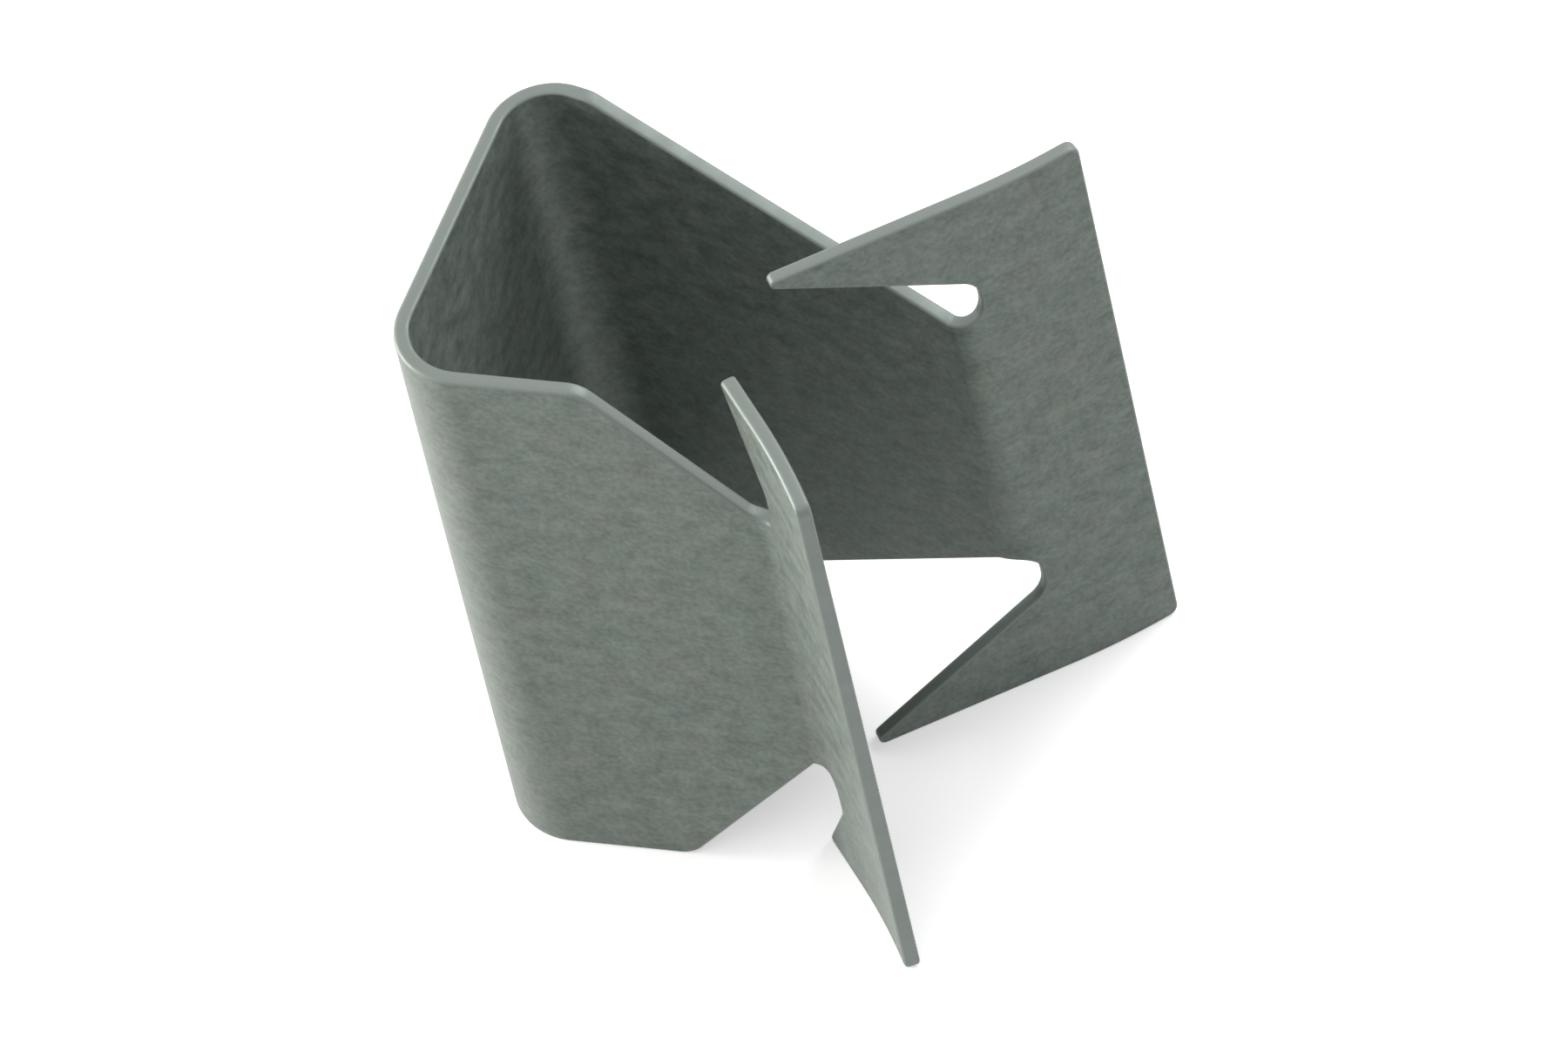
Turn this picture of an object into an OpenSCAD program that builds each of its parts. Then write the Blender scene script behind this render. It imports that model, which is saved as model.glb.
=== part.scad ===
// Fastener clip: one strip of spring steel, folded into a channel with flared, barbed flanges.
// Sizes are in millimetres and degrees. The web stands at -X, the mouth faces +X,
// and the clip stands on the cut edge of the strip with Z up.

/* [Sheet] */
// Thickness of the strip
sheet_t = 0.3; // [0.2:0.05:0.5]
// Height of the strip from cut edge to cut edge
clip_h = 14; // [12.5:0.5:18]

/* [Web] */
// Width of the web over the outside of both legs
web_w = 7.5; // [6.6:0.1:9]
// Inside radius of the bend between the web and the short leg
short_bend_r = 1.1; // [0.4:0.05:1.3]
// Inside radius of the bend between the web and the long leg
long_bend_r = 0.9; // [0.4:0.05:1.3]
// Lean of each leg in towards the mouth
leg_lean = 7.2; // [0:0.1:10]

/* [Short leg] */
// Length of the short leg, outside of the web to the neck
short_leg = 7.05; // [6.2:0.05:8]
// Straight edge of the short leg between the web bend and the taper
short_run = 2.4; // [1.2:0.1:3]
// Height left at the neck of the short leg
short_neck = 7.5; // [6:0.1:8.2]

/* [Long leg] */
// Length of the long leg, outside of the web to the neck
long_leg = 8.95; // [8:0.05:10.5]
// Straight edge of the long leg between the web bend and the taper
long_run = 0.35; // [0.3:0.05:2]
// Height left at the neck of the long leg
long_neck = 7.05; // [6:0.05:8.2]
// Radius where the straight edge of a leg turns into its taper
taper_r = 0.6; // [0.2:0.1:0.9]

/* [Flanges] */
// Width of each flange from the neck to its free edge
flange_w = 2.7; // [2.4:0.1:3.6]
// Flare of each flange from the axis of the channel
flange_flare = 43; // [35:1:50]
// Further flare that each flange curls out to at its free edge
flange_curl = 8; // [2:1:8]
// Distance of the curl's middle from the neck
curl_at = 1.4; // [1.3:0.1:1.8]
// Inside radius of the curl
curl_r = 14; // [6:1:16]
// Inside radius of the bend at each neck
neck_r = 0.5; // [0.2:0.05:0.7]
// Radius of the outer corners of the flanges
corner_r = 0.2; // [0.05:0.05:0.4]

/* [Barbs] */
// Reach of the short leg's barbs past the neck
short_barb = 0.85; // [0.5:0.05:1.4]
// Reach of the long leg's barbs past the neck
long_barb = 3.5; // [2.6:0.1:3.8]
// Gap between a barb and the leg, at the root of the notch
notch_gap = 1.1; // [1:0.1:1.8]
// Depth of the notch into the flange, past the bend at the neck
notch_in = 0.05; // [0.05:0.05:0.4]
// Radius at the root of the notch
root_r = 0.55; // [0.2:0.05:0.6]
// Radius at the point of a barb
tip_r = 0.12; // [0.05:0.01:0.15]
// Set-back of the coined barbs from each face of the flange
barb_set = 0.01; // [0.005:0.005:0.03]

/* [Hidden] */

$fn = 96;

// Reach of a cutting shape past the sheet, and lap of one shape in the next
over = 1;
lap = 0.1;
// Keeps a round from ending right on its tangent point
hair = 0.0002;

// Bends: turn, and tangent length from the sharp corner of the outer faces
web_turn = 90 + leg_lean;
function web_tan(bend_r) = (bend_r + sheet_t) * tan(web_turn / 2);
neck_turn = leg_lean + flange_flare;
neck_tan = neck_r * tan(neck_turn / 2);

// Flare at the free edge of a flange, and the place of the notch's root from the neck
end_flare = flange_flare + flange_curl;
root_at = neck_tan + notch_in;

// Plan points of one side, on the outer face
function along(a) = [cos(a), sin(a)];
function neck_at(len) = [0, web_w / 2] + len * along(-leg_lean);
function bent_at(len) = neck_at(len) + curl_at * along(flange_flare);
function edge_at(len) = bent_at(len) + (flange_w - curl_at) * along(end_flare);

// Middle of the clip's box, which goes over the origin
far_x = max(edge_at(short_leg)[0], edge_at(long_leg)[0]) + sheet_t * sin(end_flare);
back_y = max(edge_at(long_leg)[1], web_w / 2);
front_y = -max(edge_at(short_leg)[1], web_w / 2);
middle = [far_x / 2, (back_y + front_y) / 2, 0];

// Height of the cut at a neck, and height of the barb below it at the notch's root
function drop_at(neck) = (clip_h - neck) / 2;
function base_at(neck) = drop_at(neck) - notch_gap;

// Slope of a barb's inner edge, from its root to the round at its point
function barb_slope(run, rise) = atan2(rise, run) - asin(tip_r / norm([run, rise]));

// Sliver between a corner at p and its round; a1 and a2 are the directions of the two edges
module sliver(p, a1, a2, r) {
    half = (a2 - a1) / 2;
    run = r / tan(half);
    mid = p + r / sin(half) * along(a1 + half);
    difference() {
        polygon([p - lap * along(a1 + half), p + run * along(a1), mid, p + run * along(a2)]);
        translate(mid) circle(r + hair);
    }
}

// Frame of a leg: x runs along the sheet from the web, the outer face is y = 0
module leg_frame() {
    translate([0, web_w / 2, 0]) rotate([0, 0, -leg_lean]) children();
}

// Frame at a neck, turned from the leg: x runs towards the free edge, the outer corner is y = 0
module neck_frame(len, turn) {
    leg_frame() translate([len, 0, 0]) rotate([0, 0, turn]) children();
}

// Frame at the free edge of a flange: x points off the sheet, the outer face is y = 0
module free_frame(len) {
    translate(edge_at(len)) rotate([0, 0, end_flare]) children();
}

// Stands an outline up square to the sheet, between two depths behind the outer face
module stand(from, to) {
    translate([0, -from, 0]) rotate([90, 0, 0]) linear_extrude(to - from) children();
}

// The same at the lower and at the upper cut edge
module both_edges() {
    children();
    translate([0, 0, clip_h]) mirror([0, 0, 1]) children();
}

// Half plan of what lies inside the channel, from a depth behind the outer face,
// with its flange run on past the free edge
module half_inside(len, bend_r, depth, past) {
    corner = [depth, web_w / 2 - depth * tan(web_turn / 2)];
    neck = neck_at(len) + depth / cos(neck_turn / 2) * along(flange_flare - neck_turn / 2 - 90);
    bent = bent_at(len) + depth / cos(flange_curl / 2) * along(flange_flare + flange_curl / 2 - 90);
    free = bent + (flange_w - curl_at + past) * along(end_flare);
    difference() {
        union() {
            polygon([[depth, -lap], corner, neck, bent, free, [free[0], -lap]]);
            sliver(neck, flange_flare, 180 - leg_lean, neck_r + depth);
            sliver(bent, end_flare, 180 + flange_flare, curl_r + depth);
        }
        sliver(corner, 270, 360 - leg_lean, bend_r + sheet_t - depth);
    }
}

// Plan of the folded strip: the space inside its outer face, less the space inside its inner face
module strip_plan() {
    difference() {
        union() {
            half_inside(long_leg, long_bend_r, 0, over);
            mirror([0, 1]) half_inside(short_leg, short_bend_r, 0, over);
        }
        half_inside(long_leg, long_bend_r, sheet_t, 3 * over);
        mirror([0, 1]) half_inside(short_leg, short_bend_r, sheet_t, 3 * over);
        free_end(long_leg);
        mirror([0, 1]) free_end(short_leg);
    }
}

// What is cut off beyond the free edge of a flange
module free_end(len) {
    translate(edge_at(len)) rotate(end_flare) translate([0, -sheet_t - over])
        square([2 * over, sheet_t + 2 * over]);
}

// Cuts at one cut edge of one side: the taper of the leg, the notch through the bend
// and into the flange, and the flange's outer corner
module edge_cuts(len, bend_r, run, neck) {
    drop = drop_at(neck);
    x1 = web_tan(bend_r) + run;
    x2 = len - neck_tan;
    slope = atan2(drop, x2 - x1);
    difference() {
        union() {
            leg_frame() stand(-over, sheet_t + over) {
                polygon([[x1 - over / tan(slope), -over], [x2 + lap, -over], [x2 + lap, drop], [x2, drop]]);
                sliver([x1, 0], slope, 180, taper_r);
            }
            leg_frame() translate([x2, neck_r, -over]) linear_extrude(drop + over)
                polygon(2 * (neck_r + sheet_t) * [[0, 0], along(-90), along(neck_turn - 90)]);
            neck_frame(len, neck_turn) stand(-over, sheet_t + over)
                translate([0, -over]) square([root_at, drop + over]);
        }
        root_round(len, drop);
    }
    free_frame(len) stand(-over, sheet_t + over) sliver([0, 0], 90, 180, corner_r);
}

// Round of the notch's root below the leg, square to the middle of the bend
module root_round(len, drop) {
    middle_x = root_at * cos(neck_turn / 2) + sheet_t * sin(neck_turn / 2);
    neck_frame(len, neck_turn / 2) stand(-2 * over, sheet_t + 2 * over)
        sliver([middle_x, drop], 180, 270, root_r);
}

// A barb in the plane of its flange, with the round at its root
module barb(len, reach, neck) {
    base = base_at(neck);
    slope = barb_slope(root_at + reach - tip_r, base - tip_r);
    point = root_at - base / tan(slope);
    neck_frame(len, neck_turn) stand(barb_set, sheet_t - barb_set) {
        difference() {
            polygon([[point, 0], [root_at + lap, 0], [root_at + lap, base], [root_at, base]]);
            sliver([point, 0], 0, slope, tip_r);
        }
        sliver([root_at, base], 90, 180 + slope, root_r);
    }
}

module spring_clip() {
    color([0.46, 0.49, 0.48]) translate(-middle) {
        difference() {
            linear_extrude(clip_h) strip_plan();
            both_edges() edge_cuts(long_leg, long_bend_r, long_run, long_neck);
            both_edges() mirror([0, 1, 0]) edge_cuts(short_leg, short_bend_r, short_run, short_neck);
        }
        both_edges() barb(long_leg, long_barb, long_neck);
        both_edges() mirror([0, 1, 0]) barb(short_leg, short_barb, short_neck);
    }
}

spring_clip();
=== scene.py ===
import bpy
import bmesh
import math
from mathutils import Matrix, Vector


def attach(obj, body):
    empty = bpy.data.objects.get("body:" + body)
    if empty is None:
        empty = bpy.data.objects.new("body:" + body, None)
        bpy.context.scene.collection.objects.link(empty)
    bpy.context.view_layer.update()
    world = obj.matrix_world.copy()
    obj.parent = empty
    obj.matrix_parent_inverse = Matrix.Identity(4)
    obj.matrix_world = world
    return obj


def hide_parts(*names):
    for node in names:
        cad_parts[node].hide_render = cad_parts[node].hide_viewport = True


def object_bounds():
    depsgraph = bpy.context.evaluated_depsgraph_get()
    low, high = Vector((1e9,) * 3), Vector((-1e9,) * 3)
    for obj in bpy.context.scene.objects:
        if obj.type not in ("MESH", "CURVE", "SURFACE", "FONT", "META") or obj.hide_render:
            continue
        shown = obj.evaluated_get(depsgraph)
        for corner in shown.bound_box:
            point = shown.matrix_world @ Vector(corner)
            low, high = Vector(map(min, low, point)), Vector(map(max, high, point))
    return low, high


mm = 0.001
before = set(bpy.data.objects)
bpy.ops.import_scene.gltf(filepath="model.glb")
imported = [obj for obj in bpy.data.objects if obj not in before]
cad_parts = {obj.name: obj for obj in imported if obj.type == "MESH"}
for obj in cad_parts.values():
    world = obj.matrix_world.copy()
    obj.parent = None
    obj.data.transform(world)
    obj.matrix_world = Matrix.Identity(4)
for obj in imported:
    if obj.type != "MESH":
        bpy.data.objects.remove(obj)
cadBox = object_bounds()
cadLow, cadHigh = Vector(cadBox[0]), Vector(cadBox[1])
print("frame loaded, nodes:", len(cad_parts))
print("box in mm:", [round(v / mm, 3) for v in cadHigh - cadLow])

photoCamera = {
    "azimuth": math.radians(31.289),    # round from straight in front
    "elevation": math.radians(51.179),  # above the floor
    "roll": math.radians(-13.69),
    "distance": 340 * mm,
    "aim": (0.297 * mm, -0.136 * mm, 7 * mm),
    "lens": 422.176,                    # in mm, as the sensor is
    "sensor": 36,
    "clip": (10 * mm, 10),              # nearest and farthest that it sees
}


def placeCamera(c):
    turn, rise = c["azimuth"], c["elevation"]
    back = Vector((math.sin(turn) * math.cos(rise), -math.cos(turn) * math.cos(rise), math.sin(rise)))
    level = Vector((math.cos(turn), math.sin(turn), 0))
    upright = back.cross(level)
    right = math.cos(c["roll"]) * level + math.sin(c["roll"]) * upright
    up = math.cos(c["roll"]) * upright - math.sin(c["roll"]) * level
    data = bpy.data.cameras.new("photoCamera")
    data.sensor_fit = "HORIZONTAL"
    data.sensor_width = c["sensor"]
    data.lens = c["lens"]
    data.clip_start, data.clip_end = c["clip"]
    camera = bpy.data.objects.new("photoCamera", data)
    place = Matrix((right, up, back)).transposed().to_4x4()
    place.translation = Vector(c["aim"]) + c["distance"] * back
    camera.matrix_world = place
    bpy.context.scene.collection.objects.link(camera)
    bpy.context.scene.camera = camera


placeCamera(photoCamera)
print("camera placed")

foldedStrip = {
    "thick": 0.3 * mm,
    "webWidth": 7.5 * mm,       # over the outside of both legs
    "lean": math.radians(7.2),  # of each leg towards the mouth
    "neckRadius": 0.5 * mm,     # inside of the bend at a neck
    "flare": math.radians(43),  # of a flange at its neck
    "curl": math.radians(8),    # what the flare gains by the free edge
    "curlAt": 1.4 * mm,         # middle of the curl, from the neck
    "curlRadius": 14 * mm,
    "flangeWidth": 2.7 * mm,
    "cornerRadius": 0.2 * mm,   # corners of the flanges
    "taperRadius": 0.6 * mm,    # where a straight edge turns into a taper
    "neckEase": 0.5 * mm,       # where a taper meets the neck
    "notchGap": 1.1 * mm,       # between a barb and the leg, at the root
    "notchDepth": 0.05 * mm,    # past the bend, into the flange
    "rootRadius": 0.55 * mm,    # of the notches
    "tipRadius": 0.12 * mm,     # of the barbs
    "outerRound": 0.08 * mm,    # rolled-over side of the punched edge
    "innerRound": 0.06 * mm,    # burr side of it
    "roundSteps": 3,            # across such a round
    "cornerStep": 0.08 * mm,    # radius of a corner for each of its steps
    "cornerLeast": 4,           # fewest steps of a corner
    "bendCuts": 28,             # parts of each bend of the web
    "neckCuts": 14,             # of each bend at a neck
    "curlCuts": 8,              # of each flange's curl
    "hair": 0.001 * mm,         # depths that are closer than this are the same
    "weld": 0.00001 * mm,       # a cut this close to a vertex goes through it
    "tipMargin": 0.05,          # share of a barb's length kept flat past its point
    "faceWeight": 100,          # how far the large faces rule the shading
    "legs": (
        {
            "side": 1,
            "bend": 0.9 * mm,   # inside radius beside the web
            "leg": 8.95 * mm,   # outside of the web to the neck
            "run": 0.35 * mm,   # straight edge before the taper
            "neck": 7.05 * mm,  # height left at the neck
            "barb": 3.5 * mm,   # reach past the neck
        },
        {
            "side": -1,
            "bend": 1.1 * mm,
            "leg": 7.05 * mm,
            "run": 2.4 * mm,
            "neck": 7.5 * mm,
            "barb": 0.85 * mm,
        },
    ),
}


def foldLine(c, leg):
    # straight and bent stretches of the outer face, from the middle of the web to the free edge
    webTurn = math.pi / 2 + c["lean"]
    neckTurn = c["lean"] + c["flare"]
    bendRadius = leg["bend"] + c["thick"]
    webTangent = bendRadius * math.tan(webTurn / 2)
    neckTangent = c["neckRadius"] * math.tan(neckTurn / 2)
    curlTangent = c["curlRadius"] * math.tan(c["curl"] / 2)
    stretches = (
        (c["webWidth"] / 2 - webTangent, 0),
        (bendRadius * webTurn, -webTurn),
        (leg["leg"] - webTangent - neckTangent, 0),
        (c["neckRadius"] * neckTurn, neckTurn),
        (c["curlAt"] - neckTangent - curlTangent, 0),
        (c["curlRadius"] * c["curl"], c["curl"]),
        (c["flangeWidth"] - c["curlAt"] - curlTangent, 0),
    )
    marks = [0]
    for length, turn in stretches:
        marks.append(marks[-1] + length)
    return {
        "side": leg["side"],
        "stretches": stretches,
        "bendStart": marks[1],
        "bendEnd": marks[2],
        "neckStart": marks[3],
        "neckEnd": marks[4],
        "curlStart": marks[5],
        "curlEnd": marks[6],
        "free": marks[7],
        "tip": marks[4] - neckTangent - leg["barb"],
    }


def edgeCorners(c, leg, line, height):
    # corners of the lower cut edge of one leg, each with its radius
    drop = (height - leg["neck"]) / 2
    base = drop - c["notchGap"]
    root = line["neckEnd"] + c["notchDepth"]
    tipRun, tipRise = root - line["tip"] - c["tipRadius"], base - c["tipRadius"]
    slope = math.atan2(tipRise, tipRun) - math.asin(c["tipRadius"] / math.hypot(tipRun, tipRise))
    tipTop = base - (root - line["tip"]) * math.tan(slope)
    line["gapAtRoot"] = base + c["notchGap"] / 2    # halfway between barb and leg, for the folding
    line["gapAtTip"] = tipTop + c["notchGap"] / 2
    line["root"] = root
    return (
        (line["bendEnd"] + leg["run"], 0, c["taperRadius"]),
        (line["neckStart"], drop, c["neckEase"]),
        (root, drop, c["rootRadius"]),
        (root, base, c["rootRadius"]),
        (line["tip"], tipTop, c["tipRadius"]),
        (line["tip"], 0, c["tipRadius"]),
        (line["free"], 0, c["cornerRadius"]),
    )


def roundCorner(bm, c, corner, radius):
    arms = [(e.other_vert(corner).co - corner.co).normalized() for e in corner.link_edges]
    half = arms[0].angle(arms[1]) / 2
    # the bevel's curve passes through the middle of the true round
    reach = radius * (1 / math.sin(half) - 1) / ((2 - math.sqrt(2)) * math.cos(half))
    steps = max(c["cornerLeast"], round(radius / c["cornerStep"]))
    bmesh.ops.bevel(bm, geom=[corner], offset=reach, offset_type="OFFSET", segments=steps,
                    profile=0.5, affect="VERTICES", material=-1)


def punchBlank(c, lines, height):
    # flat blank: x along the strip, y into the sheet, z up
    bm = bmesh.new()
    lower = []
    for leg, line in zip(c["legs"], lines):
        corners = [(line["side"] * s, z, radius) for s, z, radius in edgeCorners(c, leg, line, height)]
        lower = lower + corners if line["side"] > 0 else corners[::-1] + lower
    upper = [(s, height - z, radius) for s, z, radius in reversed(lower)]
    made = [(bm.verts.new((s, 0, z)), radius) for s, z, radius in lower + upper]
    bm.faces.new([vert for vert, radius in made])
    for vert, radius in made:
        roundCorner(bm, c, vert, radius)
    bmesh.ops.solidify(bm, geom=bm.faces[:], thickness=c["thick"])
    low = min(v.co.y for v in bm.verts)
    bmesh.ops.translate(bm, verts=bm.verts[:], vec=(0, -low, 0))
    bmesh.ops.recalc_face_normals(bm, faces=bm.faces[:])
    return bm


def roundCutEdges(bm, c):
    def onRim(edge, depth):
        # between the flat of the sheet and its cut
        flat = [abs(face.normal.y) > 0.5 for face in edge.link_faces]
        return all(abs(v.co.y - depth) < c["hair"] for v in edge.verts) and any(flat) and not all(flat)

    bm.normal_update()
    for depth, size in ((0, c["outerRound"]), (c["thick"], c["innerRound"])):
        rim = [e for e in bm.edges if onRim(e, depth)]
        bmesh.ops.bevel(bm, geom=rim, offset=size, offset_type="OFFSET", segments=c["roundSteps"],
                        profile=0.5, affect="EDGES", clamp_overlap=False, material=-1)


def cutBends(bm, c, line):
    for name in ("bend", "neck", "curl"):
        start, end, count = line[name + "Start"], line[name + "End"], c[name + "Cuts"]
        for step in range(count + 1):
            s = start + (end - start) * step / count
            bmesh.ops.bisect_plane(bm, geom=bm.verts[:] + bm.edges[:] + bm.faces[:], dist=c["weld"],
                                   plane_co=(line["side"] * s, 0, 0), plane_no=(1, 0, 0))


def markBlank(bm, c, lines, height):
    # what the steel follows: the flat strip, its cut edges, and the outer web bends, rubbed by the folding
    # tool and lightened further as a painted highlight where the lamps catch them
    flat = bm.loops.layers.uv.new("strip")
    cut = bm.verts.layers.float.new("cutEdge")
    for face in bm.faces:
        for loop in face.loops:
            loop[flat].uv = (loop.vert.co.x / height, loop.vert.co.z / height)
    wornAndSheen = bm.verts.layers.float.new("wornAndSheen")
    for vert in bm.verts:
        vert[cut] = 1 if c["hair"] < vert.co.y < c["thick"] - c["hair"] else 0
        line = lines[0] if vert.co.x >= 0 else lines[1]
        across = (abs(vert.co.x) - line["bendStart"]) / (line["bendEnd"] - line["bendStart"])
        # rubbed wear plus a painted highlight, strongest across the middle of the outer face of each web
        # bend
        if 0 < across < 1 and vert.co.y < c["thick"] / 2:
            vert[wornAndSheen] = math.sin(math.pi * across)


def planAt(line, s, straightBack=False):
    # plan point and heading on the outer face, at a distance from the middle of the web
    x, y, heading = 0, 0, math.pi / 2
    left = line["neckEnd"] if straightBack else s
    for length, turn in line["stretches"]:
        step = min(left, length)
        if turn:
            bend = turn / length
            x += (math.sin(heading + bend * step) - math.sin(heading)) / bend
            y += (math.cos(heading) - math.cos(heading + bend * step)) / bend
            heading += bend * step
        else:
            x += step * math.cos(heading)
            y += step * math.sin(heading)
        left -= step
        if left <= 0:
            break
    if straightBack:
        x += (s - line["neckEnd"]) * math.cos(heading)
        y += (s - line["neckEnd"]) * math.sin(heading)
    return x, y, heading


def foldBlank(bm, c, lines, height):
    for vert in bm.verts:
        s, depth, z = vert.co
        line = lines[0] if s >= 0 else lines[1]
        s = abs(s)
        nearEdge = min(z, height - z)
        share = (s - line["tip"]) / (line["root"] - line["tip"])
        gap = line["gapAtTip"] + share * (line["gapAtRoot"] - line["gapAtTip"])
        onBarb = -c["tipMargin"] < share and s < line["neckEnd"] and nearEdge < gap    # barbs stay flat
        x, y, heading = planAt(line, s, onBarb)
        x += depth * math.sin(heading)
        y -= depth * math.cos(heading)
        vert.co = (x, line["side"] * y, z)


def makeStrip(c):
    height = cadHigh.z - cadLow.z
    lines = [foldLine(c, leg) for leg in c["legs"]]
    bm = punchBlank(c, lines, height)
    print("blank punched")
    roundCutEdges(bm, c)
    for line in lines:
        cutBends(bm, c, line)
    markBlank(bm, c, lines, height)
    foldBlank(bm, c, lines, height)
    print("strip folded")
    ends = [planAt(line, line["free"]) for line in lines]
    farX = max(x + c["thick"] * math.sin(heading) for x, y, heading in ends)
    sides = [line["side"] * max(y, c["webWidth"] / 2) for line, (x, y, heading) in zip(lines, ends)]
    middle = (cadLow + cadHigh) / 2
    bmesh.ops.translate(bm, verts=bm.verts[:],
                        vec=(middle.x - farX / 2, middle.y - sum(sides) / 2, cadLow.z))
    bmesh.ops.recalc_face_normals(bm, faces=bm.faces[:])
    print("open edges:", sum(1 for e in bm.edges if len(e.link_faces) != 2), "faces:", len(bm.faces))
    mesh = bpy.data.meshes.new("folded_strip")
    bm.to_mesh(mesh)
    bm.free()
    mesh.shade_smooth()
    piece = bpy.data.objects.new("folded_strip", mesh)
    bpy.context.scene.collection.objects.link(piece)
    weights = piece.modifiers.new("flatSides", "WEIGHTED_NORMAL")
    weights.weight = c["faceWeight"]
    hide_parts("spring_clip")
    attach(piece, "root")
    return piece


strip = makeStrip(foldedStrip)

greySteel = {
    "dark": (0.074, 0.096, 0.081),
    "light": (0.220, 0.264, 0.234),
    "pink": (0.186, 0.182, 0.170),
    "green": (0.126, 0.174, 0.146),
    "cutMetal": (0.200, 0.232, 0.212),
    # lighter colour of the outer web bends: rubbed metal and a painted highlight
    "sheenAndWornMetal": (0.300, 0.320, 0.298),
    "metallic": 0.36,
    "mottle": {"rows": 36, "columns": 26, "detail": 4},   # about 0.4 by 0.55 mm, drawn out by rolling
    "patches": {"rows": 17, "columns": 12, "detail": 3},  # about 0.8 by 1.2 mm
    "streaks": {"rows": 90, "columns": 4, "detail": 3},   # rolling marks
    "grain": {"scale": 9000, "detail": 3},                # about 0.1 mm
    "mottleRange": (0.32, 0.68),    # stretch of a noise that goes from end to end
    "fineRange": (0.35, 0.65),
    "streakRange": (0.3, 0.75),
    "roughRange": (0.3, 0.7),
    "tintShare": 0.4,
    "speckShare": 0.3,
    "streakShare": (0, 0.07),
    "rubbedAndSheenShare": (0.1, 0.4),
    "roughness": (0.46, 0.57),
    "streakRoughness": (0, 0.06),   # on top of it
    "bumpStrength": 0.5,
    "bumpDepth": 0.006 * mm,
    "bumpStreaks": (0, 0.25),
}


def makeSteel(c):
    steel = bpy.data.materials.new("greySteel")
    steel.use_nodes = True
    tree = steel.node_tree
    shader = tree.nodes["Principled BSDF"]
    place = tree.nodes.new("ShaderNodeTexCoord")
    flat = tree.nodes.new("ShaderNodeUVMap")
    flat.uv_map = "strip"

    def noise(scale, detail, source):
        node = tree.nodes.new("ShaderNodeTexNoise")
        node.inputs["Scale"].default_value = scale
        node.inputs["Detail"].default_value = detail
        tree.links.new(source, node.inputs["Vector"])
        return node.outputs["Fac"]

    def stripNoise(kind):
        node = tree.nodes.new("ShaderNodeMapping")
        node.inputs["Scale"].default_value = (kind["columns"], kind["rows"], 1)
        tree.links.new(flat.outputs["UV"], node.inputs["Vector"])
        return noise(1, kind["detail"], node.outputs["Vector"])

    def spread(source, ends, onto=(0, 1)):
        node = tree.nodes.new("ShaderNodeMapRange")
        for name, value in zip(("From Min", "From Max", "To Min", "To Max"), (*ends, *onto)):
            node.inputs[name].default_value = value
        tree.links.new(source, node.inputs["Value"])
        return node.outputs["Result"]

    def combine(kind, a, b):
        node = tree.nodes.new("ShaderNodeMath")
        node.operation = kind
        tree.links.new(a, node.inputs[0])
        tree.links.new(b, node.inputs[1])
        return node.outputs[0]

    def blend(share, a, b):
        node = tree.nodes.new("ShaderNodeMix")
        node.data_type = "RGBA"
        for name, value in (("Factor_Float", share), ("A_Color", a), ("B_Color", b)):
            socket = next(s for s in node.inputs if s.identifier == name)
            if isinstance(value, tuple):
                socket.default_value = (*value, 1)
            elif isinstance(value, float):
                socket.default_value = value
            else:
                tree.links.new(value, socket)
        return next(s for s in node.outputs if s.identifier == "Result_Color")

    def painted(name):
        node = tree.nodes.new("ShaderNodeAttribute")
        node.attribute_name = name
        return node.outputs["Fac"]

    mottle = stripNoise(c["mottle"])
    patches = stripNoise(c["patches"])
    streaks = stripNoise(c["streaks"])
    grain = noise(c["grain"]["scale"], c["grain"]["detail"], place.outputs["Object"])

    grey = blend(spread(mottle, c["mottleRange"]), c["dark"], c["light"])
    tint = blend(spread(patches, c["fineRange"]), c["green"], c["pink"])
    colour = blend(c["tintShare"], grey, tint)
    speck = blend(spread(grain, c["fineRange"]), c["dark"], c["light"])
    colour = blend(c["speckShare"], colour, speck)
    colour = blend(spread(streaks, c["streakRange"], c["streakShare"]), colour, c["dark"])
    # the outer web bends turn lighter in streaks: rubbed wear and a painted highlight
    rubbedAndSheen = combine("MULTIPLY", painted("wornAndSheen"), spread(streaks, c["fineRange"], c["rubbedAndSheenShare"]))
    colour = blend(rubbedAndSheen, colour, c["sheenAndWornMetal"])
    colour = blend(painted("cutEdge"), colour, c["cutMetal"])
    tree.links.new(colour, shader.inputs["Base Color"])
    rough = combine("ADD", spread(mottle, c["roughRange"], c["roughness"]),
                    spread(streaks, c["streakRange"], c["streakRoughness"]))
    tree.links.new(rough, shader.inputs["Roughness"])
    shader.inputs["Metallic"].default_value = c["metallic"]

    bump = tree.nodes.new("ShaderNodeBump")
    bump.inputs["Strength"].default_value = c["bumpStrength"]
    bump.inputs["Distance"].default_value = c["bumpDepth"]
    relief = combine("ADD", combine("ADD", mottle, grain), spread(streaks, (0, 1), c["bumpStreaks"]))
    tree.links.new(relief, bump.inputs["Height"])
    tree.links.new(bump.outputs["Normal"], shader.inputs["Normal"])
    return steel


strip.data.materials.append(makeSteel(greySteel))
print("steel mixed")

studio = {
    "floorSize": 1.6,
    "floorColour": (0.86, 0.86, 0.86),
    "floorRoughness": 0.9,
    "floorLift": (30 * mm, 150 * mm, 0.45, 0.85),   # where its glow starts and stops rising, and both levels
    "ambient": 0.28,
    "lampDistance": 170 * mm,
    "lampSize": 100 * mm,
    "lamps": (
        {"name": "key", "from": (-1.0, -0.15, 0.22), "power": 0.43, "colour": (1.0, 0.97, 0.94)},
        {"name": "top", "from": (0.1, -0.55, 1.0), "power": 0.066, "colour": (1, 1, 1)},
        {"name": "back", "from": (0.35, 0.75, 0.75), "power": 0.205, "colour": (1, 1, 1)},
    ),
}


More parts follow.
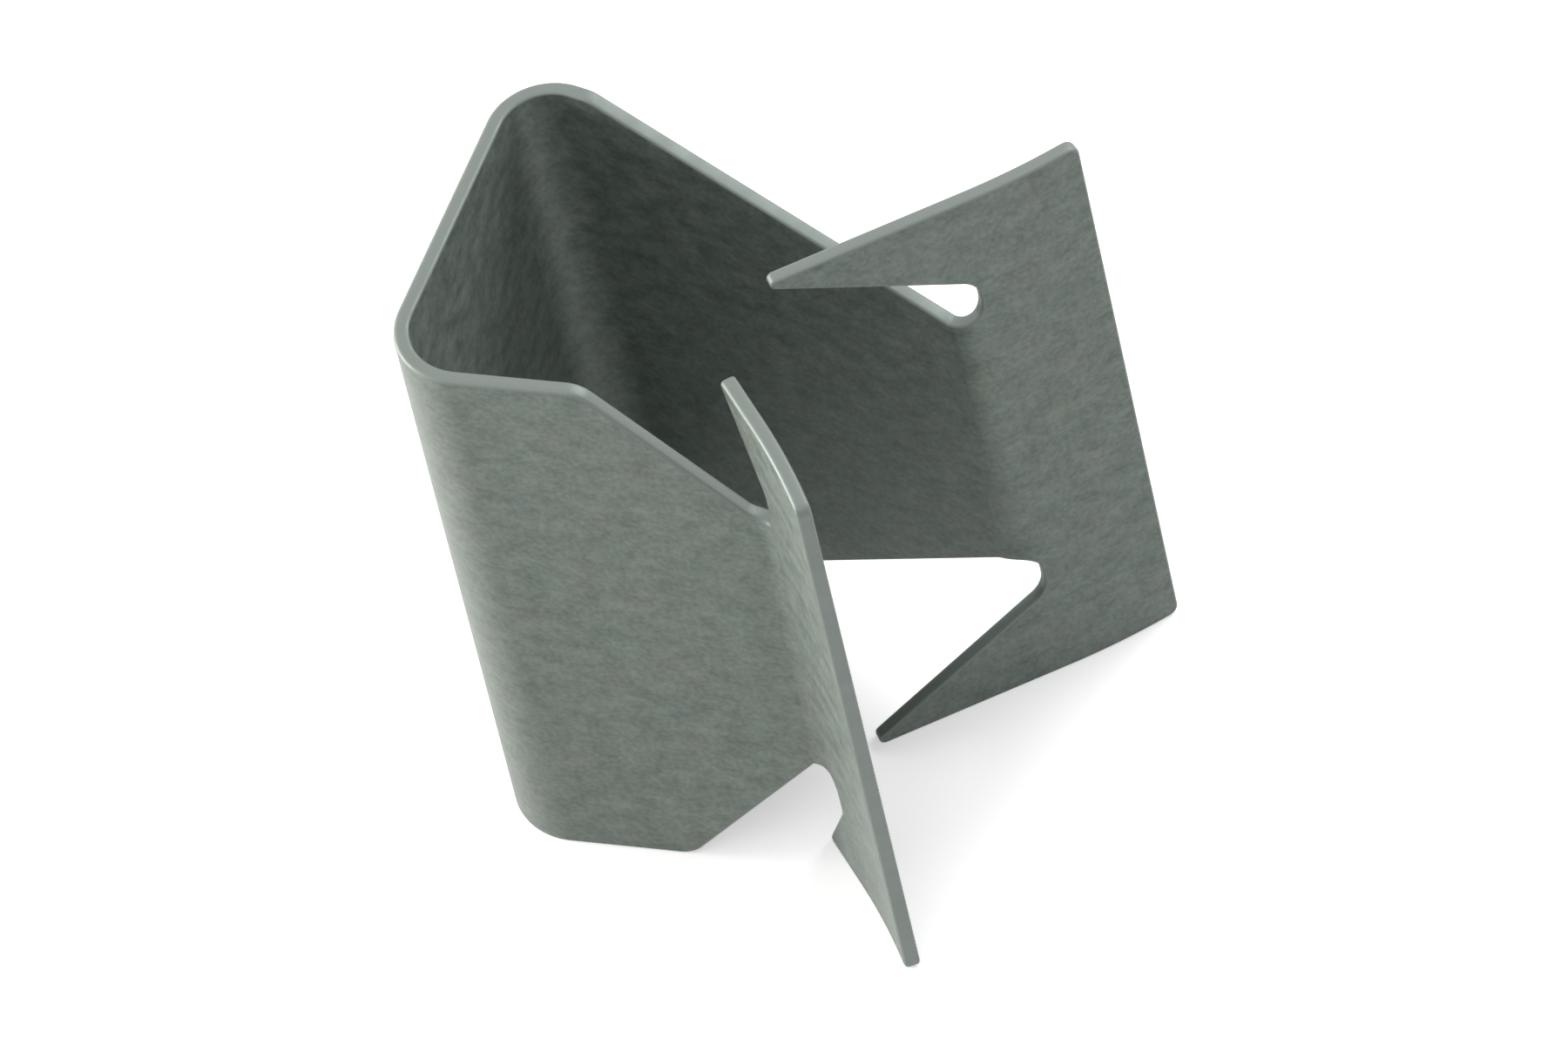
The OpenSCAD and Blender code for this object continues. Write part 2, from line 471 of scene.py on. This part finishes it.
def whiteToEye(tree):
    # seen straight, in metal or through glass, the surroundings are white
    path = tree.nodes.new("ShaderNodeLightPath")
    most = path.outputs["Is Camera Ray"]
    for name in ("Is Glossy Ray", "Is Transmission Ray"):
        larger = tree.nodes.new("ShaderNodeMath")
        larger.operation = "MAXIMUM"
        tree.links.new(most, larger.inputs[0])
        tree.links.new(path.outputs[name], larger.inputs[1])
        most = larger.outputs[0]
    return most


def makeFloor(c):
    bm = bmesh.new()
    bmesh.ops.create_grid(bm, x_segments=1, y_segments=1, size=c["floorSize"] / 2)
    mesh = bpy.data.meshes.new("floor")
    bm.to_mesh(mesh)
    bm.free()
    floor = bpy.data.objects.new("floor", mesh)
    bpy.context.scene.collection.objects.link(floor)
    pale = bpy.data.materials.new("paleFloor")
    pale.use_nodes = True
    tree = pale.node_tree
    shader = tree.nodes["Principled BSDF"]
    shader.inputs["Base Color"].default_value = (*c["floorColour"], 1)
    shader.inputs["Roughness"].default_value = c["floorRoughness"]
    shader.inputs["Specular IOR Level"].default_value = 0
    shader.inputs["Emission Color"].default_value = (1, 1, 1, 1)
    place = tree.nodes.new("ShaderNodeTexCoord")
    away = tree.nodes.new("ShaderNodeVectorMath")
    away.operation = "LENGTH"
    tree.links.new(place.outputs["Object"], away.inputs[0])
    lift = tree.nodes.new("ShaderNodeMapRange")     # the lamps don't reach the far floor
    for name, value in zip(("From Min", "From Max", "To Min", "To Max"), c["floorLift"]):
        lift.inputs[name].default_value = value
    tree.links.new(away.outputs["Value"], lift.inputs["Value"])
    seen = tree.nodes.new("ShaderNodeMath")
    seen.operation = "MULTIPLY"
    tree.links.new(whiteToEye(tree), seen.inputs[0])
    tree.links.new(lift.outputs["Result"], seen.inputs[1])
    tree.links.new(seen.outputs[0], shader.inputs["Emission Strength"])
    floor.data.materials.append(pale)


def makeLamp(c, lamp):
    data = bpy.data.lights.new(lamp["name"], "AREA")
    data.shape = "DISK"
    data.size = c["lampSize"]
    data.energy = lamp["power"]
    data.color = lamp["colour"]
    disk = bpy.data.objects.new(lamp["name"], data)
    aim = (cadLow + cadHigh) / 2
    disk.location = aim + c["lampDistance"] * Vector(lamp["from"]).normalized()
    disk.rotation_euler = (aim - disk.location).to_track_quat("-Z", "Y").to_euler()
    bpy.context.scene.collection.objects.link(disk)


def makeWorld(c):
    world = bpy.data.worlds.new("studio")
    bpy.context.scene.world = world
    world.use_nodes = True
    tree = world.node_tree
    ground = tree.nodes["Background"]
    ground.inputs["Color"].default_value = (1, 1, 1, 1)
    level = tree.nodes.new("ShaderNodeMapRange")
    level.inputs["To Min"].default_value = c["ambient"]
    level.inputs["To Max"].default_value = 1
    tree.links.new(whiteToEye(tree), level.inputs["Value"])
    tree.links.new(level.outputs["Result"], ground.inputs["Strength"])


makeFloor(studio)
for lamp in studio["lamps"]:
    makeLamp(studio, lamp)
makeWorld(studio)
bpy.context.scene.view_settings.view_transform = "Standard"
print("studio lit")
